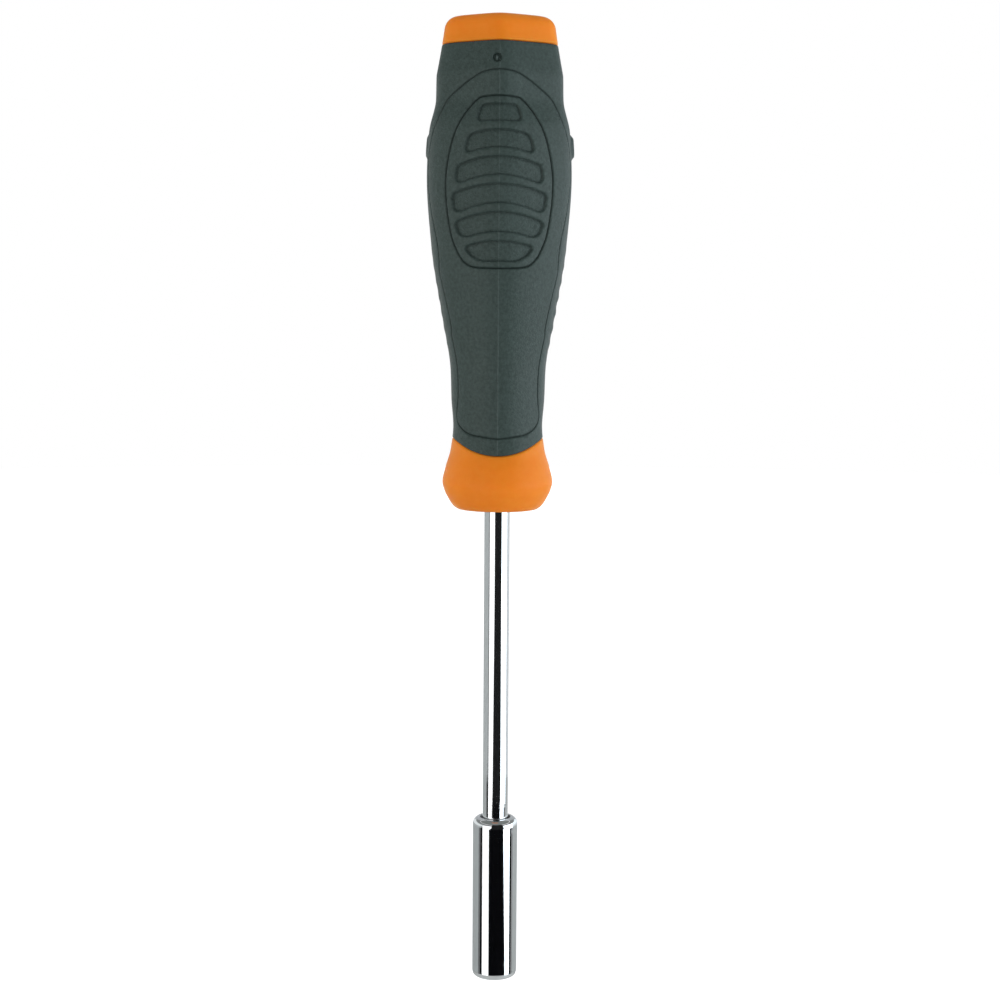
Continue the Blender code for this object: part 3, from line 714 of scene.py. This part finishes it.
def build_end_cap(orange):
    """Butt piece with a rounded edge and a spigot that plugs the spool."""
    angles = round_angles(ROUND_STEPS)
    rings = [
        circle(angles, SPIGOT_RADIUS, FOOT + CAP_FOOT),
        circle(angles, SPIGOT_RADIUS, FOOT + CAP_SEAM),
    ]
    for turn in quarter_turn(LIP_STEPS):
        height = CAP_SEAM + ORANGE_LIP * (1 - math.cos(turn))
        rings.append(handle_ring(angles, height, ORANGE_LIP * (1 - math.sin(turn))))
    edge_start = HANDLE_LENGTH - BUTT_EDGE
    for height in np.linspace(CAP_SEAM + ORANGE_LIP, edge_start, CAP_RINGS)[1:-1]:
        rings.append(handle_ring(angles, height))
    for turn in quarter_turn(BUTT_EDGE_STEPS):
        height = HANDLE_LENGTH - BUTT_EDGE * (1 - math.sin(turn))
        rings.append(handle_ring(angles, height, BUTT_EDGE * (1 - math.cos(turn))))
    return shown("butt_cap", lofted(rings), [orange], ["end_cap"])


def build_sleeve(chrome, bare_steel):
    """Chromed sleeve with soft ends, a hex socket with its ring groove, and the shaft's mouth."""
    angles = round_angles(ROUND_STEPS)
    mouth_radius = SHAFT_RADIUS + SHAFT_MOUTH_GAP
    ring_middle = (RING_LOW + RING_HIGH) / 2
    groove_half = (RING_HIGH - RING_LOW) / 2 + FIT_GAP
    groove_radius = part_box("retaining_ring")[1].y + FIT_GAP
    lead_in = SOCKET_ACROSS_FLATS + 2 * SOCKET_LEAD_IN
    edge = quarter_turn(SLEEVE_EDGE_STEPS)
    rings = [
        circle(
            angles,
            SLEEVE_RADIUS - MOUTH_EDGE_WIDTH * (1 - math.sin(turn)),
            MOUTH_EDGE_LENGTH * (1 - math.cos(turn)),
        )
        for turn in edge
    ]
    rings += [
        circle(angles, SLEEVE_RADIUS, MOUTH_EDGE_LENGTH + BARREL_MARGIN),
        circle(angles, SLEEVE_RADIUS, SLEEVE_LENGTH - SHOULDER_ROUNDING - BARREL_MARGIN),
    ]
    rings += [
        circle(
            angles,
            SLEEVE_RADIUS - SHOULDER_ROUNDING * (1 - math.cos(turn)),
            SLEEVE_LENGTH - SHOULDER_ROUNDING * (1 - math.sin(turn)),
        )
        for turn in edge
    ]
    rings += [
        circle(angles, mouth_radius, SLEEVE_LENGTH),
        circle(angles, SHAFT_RADIUS + FIT_GAP, SLEEVE_LENGTH - SHAFT_MOUTH_DEPTH),
        circle(angles, SHAFT_RADIUS + FIT_GAP, MAGNET_HIGH + FIT_GAP),
        circle(angles, MAGNET_RADIUS + FIT_GAP, MAGNET_HIGH + FIT_GAP),
        circle(angles, MAGNET_RADIUS + FIT_GAP, MAGNET_LOW),
        hexagon(angles, SOCKET_ACROSS_FLATS, MAGNET_LOW),
        hexagon(angles, SOCKET_ACROSS_FLATS, ring_middle + groove_half),
        circle(angles, groove_radius, ring_middle + groove_half),
        circle(angles, groove_radius, ring_middle - groove_half),
        hexagon(angles, SOCKET_ACROSS_FLATS, ring_middle - groove_half),
        hexagon(angles, SOCKET_ACROSS_FLATS, SOCKET_LEAD_IN),
        hexagon(angles, lead_in, 0.0),
    ]
    bm = lofted(rings, closed=True)
    for face in bm.faces:
        middle = face.calc_center_median()
        inside = math.hypot(middle.x, middle.y) < mouth_radius and middle.z < SLEEVE_LENGTH
        face.material_index = int(inside and middle.z > SOCKET_LEAD_IN / 4)
    finishes = [chrome, bare_steel]
    return shown("bit_sleeve_chromed", bm, finishes, ["bit_sleeve"], crease_degrees=30.0)


def build_shaft(chrome):
    """Polished rod from the magnet to inside the handle."""
    angles = round_angles(ROUND_STEPS)
    rings = [
        circle(angles, SHAFT_RADIUS - SHAFT_CHAMFER, SHAFT_LOW),
        circle(angles, SHAFT_RADIUS, SHAFT_LOW + SHAFT_CHAMFER),
        circle(angles, SHAFT_RADIUS, SHAFT_HIGH - SHAFT_CHAMFER),
        circle(angles, SHAFT_RADIUS - SHAFT_CHAMFER, SHAFT_HIGH),
    ]
    return shown("shaft_polished", lofted(rings), [chrome], ["shaft"], crease_degrees=30.0)


def build_magnet(nickel):
    """Disc magnet with rounded edges."""
    angles = round_angles(SMALL_ROUND_STEPS)
    rings = []
    for height, inward in ((MAGNET_LOW, 1), (MAGNET_HIGH, -1)):
        edge = [
            circle(
                angles,
                MAGNET_RADIUS - MAGNET_ROUNDING * (1 - math.sin(turn)),
                height + inward * MAGNET_ROUNDING * (1 - math.cos(turn)),
            )
            for turn in quarter_turn(MAGNET_EDGE_STEPS)
        ]
        rings += edge[::inward]
    return shown("socket_magnet", lofted(rings), [nickel], ["magnet"])


def build_retaining_ring(spring_steel):
    """Split ring of round wire that snaps into a bit's notches."""
    bm = bmesh.new()
    wire_radius = (RING_HIGH - RING_LOW) / 2
    ring_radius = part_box("retaining_ring")[1].x - wire_radius
    wire = bmesh.ops.create_circle(bm, segments=WIRE_STEPS, radius=wire_radius, cap_ends=True)["verts"]
    bmesh.ops.rotate(bm, verts=wire, cent=(0, 0, 0), matrix=Matrix.Rotation(math.pi / 2, 3, "X"))
    bmesh.ops.translate(bm, verts=wire, vec=(ring_radius, 0, (RING_LOW + RING_HIGH) / 2))
    bmesh.ops.spin(
        bm,
        geom=bm.verts[:] + bm.edges[:] + bm.faces[:],
        cent=(0, 0, 0),
        axis=(0, 0, 1),
        angle=math.radians(360 - RING_SPLIT_DEGREES),
        steps=SMALL_ROUND_STEPS,
    )
    bmesh.ops.remove_doubles(bm, verts=bm.verts, dist=WELD_DISTANCE)
    return shown("retaining_ring_wire", facing_out(bm), [spring_steel], ["retaining_ring"])


def group_of(name, inputs, outputs):
    """An empty shader node group with named sockets, and its input and output nodes."""
    tree = bpy.data.node_groups.new(name, "ShaderNodeTree")
    for socket, kind, value in inputs:
        made = tree.interface.new_socket(socket, in_out="INPUT", socket_type=kind)
        made.default_value = value
    for socket, kind in outputs:
        tree.interface.new_socket(socket, in_out="OUTPUT", socket_type=kind)
    return tree, tree.nodes.new("NodeGroupInput"), tree.nodes.new("NodeGroupOutput")


def noise(tree, places, scale, detail=3.0, roughness=0.55):
    """Noise on object coordinates; the scale is a number or another node's socket."""
    made = tree.nodes.new("ShaderNodeTexNoise")
    made.inputs["Detail"].default_value = detail
    made.inputs["Roughness"].default_value = roughness
    if isinstance(scale, bpy.types.NodeSocket):
        tree.links.new(scale, made.inputs["Scale"])
    else:
        made.inputs["Scale"].default_value = scale
    tree.links.new(places, made.inputs["Vector"])
    return made.outputs["Fac"]


def arithmetic(tree, operation, first, second):
    """Two numbers or sockets put together by a Math node."""
    made = tree.nodes.new("ShaderNodeMath")
    made.operation = operation
    for socket, value in zip(made.inputs, (first, second)):
        if isinstance(value, bpy.types.NodeSocket):
            tree.links.new(value, socket)
        else:
            socket.default_value = value
    return made.outputs["Value"]


def span(tree, value, low, high, to_low, to_high):
    """The value carried over from one span of numbers to another, held at its ends."""
    made = tree.nodes.new("ShaderNodeMapRange")
    made.inputs["From Min"].default_value = low
    made.inputs["From Max"].default_value = high
    for name, end in (("To Min", to_low), ("To Max", to_high)):
        if isinstance(end, bpy.types.NodeSocket):
            tree.links.new(end, made.inputs[name])
        else:
            made.inputs[name].default_value = end
    tree.links.new(value, made.inputs["Value"])
    return made.outputs["Result"]


def mixed(tree, share, first, second):
    """Two colours mixed by a share that goes from the first to the second."""
    made = tree.nodes.new("ShaderNodeMix")
    made.data_type = "RGBA"
    tree.links.new(share, made.inputs["Factor"])
    for name, value in (("A", first), ("B", second)):
        socket = next(s for s in made.inputs if s.name == name and s.type == "RGBA")
        if isinstance(value, bpy.types.NodeSocket):
            tree.links.new(value, socket)
        else:
            socket.default_value = (*value, 1.0)
    return next(s for s in made.outputs if s.type == "RGBA")


def moulded_surface():
    """Group: the grain of a moulded surface as a height, its slow clouds of tone and its fine speckle."""
    tree, given, result = group_of(
        "moulded surface",
        [("Grain Scale", "NodeSocketFloat", 3000.0), ("Cloud Scale", "NodeSocketFloat", 90.0)],
        [("Grain", "NodeSocketFloat"), ("Cloud", "NodeSocketFloat"), ("Speckle", "NodeSocketFloat")],
    )
    places = tree.nodes.new("ShaderNodeTexCoord").outputs["Object"]
    speckle_scale = arithmetic(tree, "MULTIPLY", given.outputs["Grain Scale"], SPECKLE_TO_GRAIN)
    layers = {
        "Grain": noise(tree, places, given.outputs["Grain Scale"], detail=2.0, roughness=0.6),
        "Cloud": noise(tree, places, given.outputs["Cloud Scale"], detail=4.0),
        "Speckle": noise(tree, places, speckle_scale),
    }
    for name, layer in layers.items():
        tree.links.new(span(tree, layer, NOISE_LOW, NOISE_HIGH, 0.0, 1.0), result.inputs[name])
    return tree


def handled_metal():
    """Group: smudges that dull a metal, and the faint rings that turning leaves on it."""
    tree, given, result = group_of(
        "handled metal",
        [
            ("Clean", "NodeSocketFloat", 0.05),
            ("Smudged", "NodeSocketFloat", 0.14),
            ("Ring Scale", "NodeSocketFloat", 900.0),
        ],
        [("Roughness", "NodeSocketFloat"), ("Rings", "NodeSocketFloat")],
    )
    places = tree.nodes.new("ShaderNodeTexCoord").outputs["Object"]
    broad, fine = SMUDGE_SCALES
    smudge = arithmetic(tree, "MULTIPLY", noise(tree, places, broad, detail=4.0), noise(tree, places, fine))
    rough = span(tree, smudge, SMUDGE_LOW, SMUDGE_HIGH, given.outputs["Clean"], given.outputs["Smudged"])
    tree.links.new(rough, result.inputs["Roughness"])
    stretched = tree.nodes.new("ShaderNodeMapping")
    stretched.inputs["Scale"].default_value = TURNING_STRETCH
    tree.links.new(places, stretched.inputs["Vector"])
    rings = noise(tree, stretched.outputs["Vector"], given.outputs["Ring Scale"])
    tree.links.new(rings, result.inputs["Rings"])
    return tree


def new_finish(name):
    """A new material, its nodes and its shader."""
    material = bpy.data.materials.new(name)
    material.use_nodes = True
    tree = material.node_tree
    return material, tree, tree.nodes["Principled BSDF"]


def grouped(tree, group, **values):
    """The group placed in a material, with its own values for the named inputs."""
    made = tree.nodes.new("ShaderNodeGroup")
    made.node_tree = group
    for name, value in values.items():
        made.inputs[name.replace("_", " ")].default_value = value
    return made.outputs


def raised(tree, shader, height, distance, strength=1.0):
    """Lets a height bump the shader's surface."""
    made = tree.nodes.new("ShaderNodeBump")
    made.inputs["Distance"].default_value = distance
    made.inputs["Strength"].default_value = strength
    tree.links.new(height, made.inputs["Height"])
    tree.links.new(made.outputs["Normal"], shader.inputs["Normal"])


def attribute_of(tree, name):
    """A value that the mesh itself carries at its points."""
    made = tree.nodes.new("ShaderNodeAttribute")
    made.attribute_name = name
    return made.outputs["Fac"]


def slate_rubber(moulded):
    """Matte slate-grey rubber: fine grain, slow clouds of tone, painted shade in the grooves and pocket
    creases, and a painted highlight on the mould line.
    """
    material, tree, shader = new_finish("slate rubber")
    surface = grouped(tree, moulded, Grain_Scale=2600.0, Cloud_Scale=70.0)
    tone = mixed(tree, surface["Cloud"], *SLATE_TONES)
    speckle = span(tree, surface["Speckle"], 0.0, 1.0, 0.0, 0.65)
    # Painted highlight from the mesh's pale layer, on the mould line and the gate's nib
    pale = span(tree, attribute_of(tree, "pale"), 0.0, 1.0, 0.0, 0.6)
    with_painted_highlight = mixed(tree, pale, mixed(tree, speckle, tone, SLATE_SPECKLE), SLATE_PAINTED_HIGHLIGHT)
    # Painted shade from the mesh's dark layer, in the grooves, the pocket creases and the gate's pit
    colour = mixed(tree, attribute_of(tree, "dark"), with_painted_highlight, SLATE_PAINTED_SHADE)
    tree.links.new(colour, shader.inputs["Base Color"])
    tree.links.new(span(tree, surface["Cloud"], 0.0, 1.0, 0.46, 0.54), shader.inputs["Roughness"])
    shader.inputs["Specular IOR Level"].default_value = 0.3
    coarse = span(tree, attribute_of(tree, "grainy"), 0.0, 1.0, 1.0, 2.2)
    raised(tree, shader, arithmetic(tree, "MULTIPLY", surface["Grain"], coarse), distance=0.00004)
    return material


def orange_plastic(moulded):
    """Satin orange plastic with faint clouds and a barely rippled skin."""
    material, tree, shader = new_finish("orange plastic")
    surface = grouped(tree, moulded, Grain_Scale=1400.0, Cloud_Scale=110.0)
    tone = mixed(tree, surface["Cloud"], *ORANGE_TONES)
    speckle = span(tree, surface["Speckle"], 0.0, 1.0, 0.0, 0.3)
    colour = mixed(tree, speckle, tone, ORANGE_SPECKLE)
    tree.links.new(colour, shader.inputs["Base Color"])
    tree.links.new(span(tree, surface["Cloud"], 0.0, 1.0, 0.42, 0.50), shader.inputs["Roughness"])
    shader.inputs["Specular IOR Level"].default_value = 0.15
    shader.inputs["Subsurface Weight"].default_value = 0.5
    shader.inputs["Subsurface Radius"].default_value = (1.0, 0.35, 0.08)
    shader.inputs["Subsurface Scale"].default_value = 0.004
    raised(tree, shader, surface["Grain"], distance=0.00001, strength=0.5)
    return material


def worked_metal(name, handled, colour, clean, smudged, ring_scale, ring_depth):
    """A plated or bare steel: its colour, smudges that dull it, and faint turning rings."""
    material, tree, shader = new_finish(name)
    surface = grouped(tree, handled, Clean=clean, Smudged=smudged, Ring_Scale=ring_scale)
    shader.inputs["Base Color"].default_value = (*colour, 1.0)
    shader.inputs["Metallic"].default_value = 1.0
    tree.links.new(surface["Roughness"], shader.inputs["Roughness"])
    raised(tree, shader, surface["Rings"], ring_depth)
    return material


def staged(name, bm, colour, glow=0.0):
    """A matte panel of the studio that the camera doesn't see, glowing if it is lit from behind."""
    material, _, shader = new_finish(name)
    shader.inputs["Base Color"].default_value = (*colour, 1.0)
    shader.inputs["Roughness"].default_value = 1.0
    shader.inputs["Specular IOR Level"].default_value = 0.0
    shader.inputs["Emission Color"].default_value = (*colour, 1.0)
    shader.inputs["Emission Strength"].default_value = glow
    panel = placed(name, bm, [material])
    panel.visible_camera = False
    return panel


def studio_wall(name, foot, radius, colour, low=STUDIO_FLOOR, high=STUDIO_TOP, head=None, glow=0.0):
    """Curved panel round the tool between two bearings from the camera's side, at its foot and its head."""
    bm = bmesh.new()
    bmesh.ops.create_grid(bm, x_segments=WALL_STEPS, y_segments=1, size=1.0)
    for corner in bm.verts:
        first, last = head if head and corner.co.y > 0 else foot
        bearing = math.radians(blend(first, last, (corner.co.x + 1) / 2))
        height = high if corner.co.y > 0 else low
        corner.co = (radius * math.sin(bearing), -radius * math.cos(bearing), height)
    return staged(name, bm, colour, glow)


def studio_sheet(name, height, colour):
    """Flat round panel that only shows in reflections, as a mat under the tool or a ceiling over it."""
    bm = bmesh.new()
    bmesh.ops.create_circle(bm, cap_ends=True, segments=SHEET_STEPS, radius=NEAR_WALL)
    bmesh.ops.translate(bm, verts=bm.verts, vec=(0, 0, height))
    panel = staged(name, bm, colour)
    panel.visible_diffuse = False
    panel.visible_shadow = False


def lit_box(name, place, aim, width, height, brightness):
    """Soft light of this size at a place, facing the aim."""
    lamp = bpy.data.lights.new(name, "AREA")
    lamp.shape = "RECTANGLE"
    lamp.size = width
    lamp.size_y = height
    lamp.energy = brightness * math.pi * width * height
    box = bpy.data.objects.new(name, lamp)
    box.location = place
    box.rotation_euler = (Vector(aim) - Vector(place)).to_track_quat("-Z", "Y").to_euler()
    box.visible_camera = False
    bpy.context.scene.collection.objects.link(box)
    return box


def softbox(name, bearing_degrees, span_degrees, brightness, radius=STUDIO_RADIUS, top=SOFTBOX_TOP):
    """Tall soft light facing the tool from a bearing, as wide as its span of degrees."""
    bearing = math.radians(bearing_degrees)
    middle = (STUDIO_FLOOR + top) / 2
    place = (radius * math.sin(bearing), -radius * math.cos(bearing), middle)
    width = 2 * radius * math.tan(math.radians(span_degrees / 2))
    return lit_box(name, place, (0, 0, middle), width, top - STUDIO_FLOOR, brightness)


def fill_light(name, bearing_degrees, brightness):
    """Soft light from a bearing that no reflection shows."""
    box = softbox(name, bearing_degrees, FILL_SPAN_DEGREES, brightness, FILL_RADIUS, STUDIO_TOP)
    box.visible_glossy = False


def seen_directly(tree):
    """1 for what the camera, a reflection or a clear piece shows, and 0 for soft light."""
    path = tree.nodes.new("ShaderNodeLightPath").outputs
    reflected = arithmetic(tree, "MAXIMUM", path["Is Glossy Ray"], path["Is Transmission Ray"])
    return arithmetic(tree, "MAXIMUM", path["Is Camera Ray"], reflected)


def build_floor():
    """Wide pale floor below the tool, white where it is seen and shaded by what stands over it."""
    bm = bmesh.new()
    bmesh.ops.create_circle(bm, cap_ends=True, segments=FLOOR_STEPS, radius=FLOOR_RADIUS)
    bmesh.ops.translate(bm, verts=bm.verts, vec=(0, 0, STUDIO_FLOOR))
    material, tree, shader = new_finish("pale floor")
    shader.inputs["Base Color"].default_value = (0.5, 0.5, 0.5, 1.0)
    shader.inputs["Roughness"].default_value = 1.0
    glow = tree.nodes.new("ShaderNodeEmission")
    tree.links.new(span(tree, seen_directly(tree), 0, 1, 0.0, FLOOR_GLOW), glow.inputs["Strength"])
    lit = tree.nodes.new("ShaderNodeAddShader")
    tree.links.new(shader.outputs["BSDF"], lit.inputs[0])
    tree.links.new(glow.outputs["Emission"], lit.inputs[1])
    tree.links.new(lit.outputs["Shader"], tree.nodes["Material Output"].inputs["Surface"])
    placed("pale_floor", bm, [material])


def build_world():
    """White all round where it is seen, and half as bright as a light."""
    world = bpy.data.worlds.new("white studio")
    world.use_nodes = True
    tree = world.node_tree
    background = tree.nodes["Background"]
    background.inputs["Color"].default_value = (1, 1, 1, 1)
    strength = span(tree, seen_directly(tree), 0, 1, WORLD_FILL, 1.0)
    tree.links.new(strength, background.inputs["Strength"])
    bpy.context.scene.world = world


def build_camera():
    """Camera a little above the tool's middle, tilted down and rolled slightly."""
    camera = bpy.data.cameras.new("camera")
    camera.lens = CAMERA_LENS
    camera.sensor_width = 36.0
    camera.clip_start = 0.01
    holder = bpy.data.objects.new("camera", camera)
    holder.location = CAMERA_PLACE
    tilt = Matrix.Rotation(math.radians(90 - CAMERA_TILT_DEGREES), 4, "X")
    roll = Matrix.Rotation(math.radians(CAMERA_ROLL_DEGREES), 4, "Z")
    holder.rotation_euler = (tilt @ roll).to_euler()
    bpy.context.scene.collection.objects.link(holder)
    bpy.context.scene.camera = holder


moulded = moulded_surface()
handled = handled_metal()
chrome = worked_metal(
    "bright chrome", handled, CHROME_COLOUR,
    clean=0.04, smudged=0.10, ring_scale=1500.0, ring_depth=0.000001,
)
bare_steel = worked_metal(
    "broached steel", handled, BROACHED_COLOUR,
    clean=0.28, smudged=0.42, ring_scale=2500.0, ring_depth=0.00001,
)
spring_steel = worked_metal(
    "spring steel", handled, SPRING_COLOUR,
    clean=0.22, smudged=0.34, ring_scale=3000.0, ring_depth=0.000004,
)
nickel = worked_metal(
    "nickel plate", handled, NICKEL_COLOUR,
    clean=0.18, smudged=0.32, ring_scale=3000.0, ring_depth=0.000004,
)
orange = orange_plastic(moulded)

build_sleeve(chrome, bare_steel)
build_retaining_ring(spring_steel)
build_magnet(nickel)
build_shaft(chrome)
build_collar(orange)
build_end_cap(orange)
build_grip(slate_rubber(moulded))

build_world()
build_floor()
softbox("left softbox", bearing_degrees=-40.5, span_degrees=49, brightness=1.4, top=LEFT_SOFTBOX_TOP)
cool_softbox = softbox("right softbox", bearing_degrees=68, span_degrees=64, brightness=2.3)
cool_softbox.data.color = COOL_LIGHT
fill_light("left fill", -95, 0.75)
fill_light("front fill", 0, 1.15)
fill_light("right fill", 95, 0.75)
fill_light("back fill", 180, 1.0)
studio_wall("dark front wall", (-18, 43), NEAR_WALL, DARK, SHAFT_VIEW)
studio_wall("dark front middle", (-26, 47), NEAR_WALL, DARK, SLEEVE_VIEW, SHAFT_VIEW, head=(-18, 43))
studio_wall("black front skirt", (-30, 54), NEAR_WALL, BLACK, MOUTH_VIEW, SLEEVE_VIEW, head=(-32, 40))
studio_wall("black front foot", (-30, 54), NEAR_WALL, BLACK, high=MOUTH_VIEW)
studio_wall("black left edge", (-79, -67), MID_WALL, BLACK, high=SLEEVE_VIEW)
studio_wall("dusky left edge", (-90, -79), MID_WALL, DUSK, high=SLEEVE_VIEW)
studio_wall("grey left skirt", (-150, -90), MID_WALL, (0.54, 0.56, 0.55), high=SLEEVE_VIEW)
studio_wall("dusky left line", (-74, -66), MID_WALL, DUSK, SLEEVE_VIEW, HANDLE_VIEW)
studio_wall("grey left wall", (-150, -74), MID_WALL, (0.60, 0.62, 0.61), SLEEVE_VIEW, HANDLE_VIEW)
studio_wall("lit left wall", (-150, -66), MID_WALL, (0.92, 0.94, 0.93), HANDLE_VIEW, LIT_WALL_TOP, glow=0.12)
studio_wall("grey left crown", (-150, -66), MID_WALL, (0.36, 0.37, 0.36), LIT_WALL_TOP)
studio_wall("black right edge", (79, 91), NEAR_WALL, BLACK, high=SLEEVE_VIEW)
studio_wall("dusky right edge", (91, 101), NEAR_WALL, (0.40, 0.40, 0.40), high=SLEEVE_VIEW)
studio_wall("grey right skirt", (101, 150), MID_WALL, (0.63, 0.65, 0.64), high=SLEEVE_VIEW)
studio_wall("pale right wall", (100, 150), MID_WALL, (0.93, 0.96, 0.97), SLEEVE_VIEW, HANDLE_VIEW)
studio_wall("lit right wall", (100, 150), MID_WALL, (0.90, 0.96, 1.0), HANDLE_VIEW, LIT_WALL_TOP, glow=0.45)
studio_wall("grey right crown", (100, 150), MID_WALL, (0.36, 0.37, 0.36), LIT_WALL_TOP)
studio_wall("grey behind left softbox", (-66, -15), FAR_WALL, (0.30, 0.30, 0.30))
studio_wall("grey behind right softbox", (35, 101), FAR_WALL, (0.30, 0.30, 0.30))
studio_wall("grey back panel", (150, 210), MID_WALL, (0.60, 0.61, 0.62), BACK_PANEL_LOW)
studio_sheet("grey mat", MAT_HEIGHT, (0.55, 0.56, 0.55))
studio_sheet("grey ceiling", STUDIO_TOP, (0.24, 0.25, 0.24))
build_camera()

bpy.context.scene.view_settings.view_transform = "Standard"
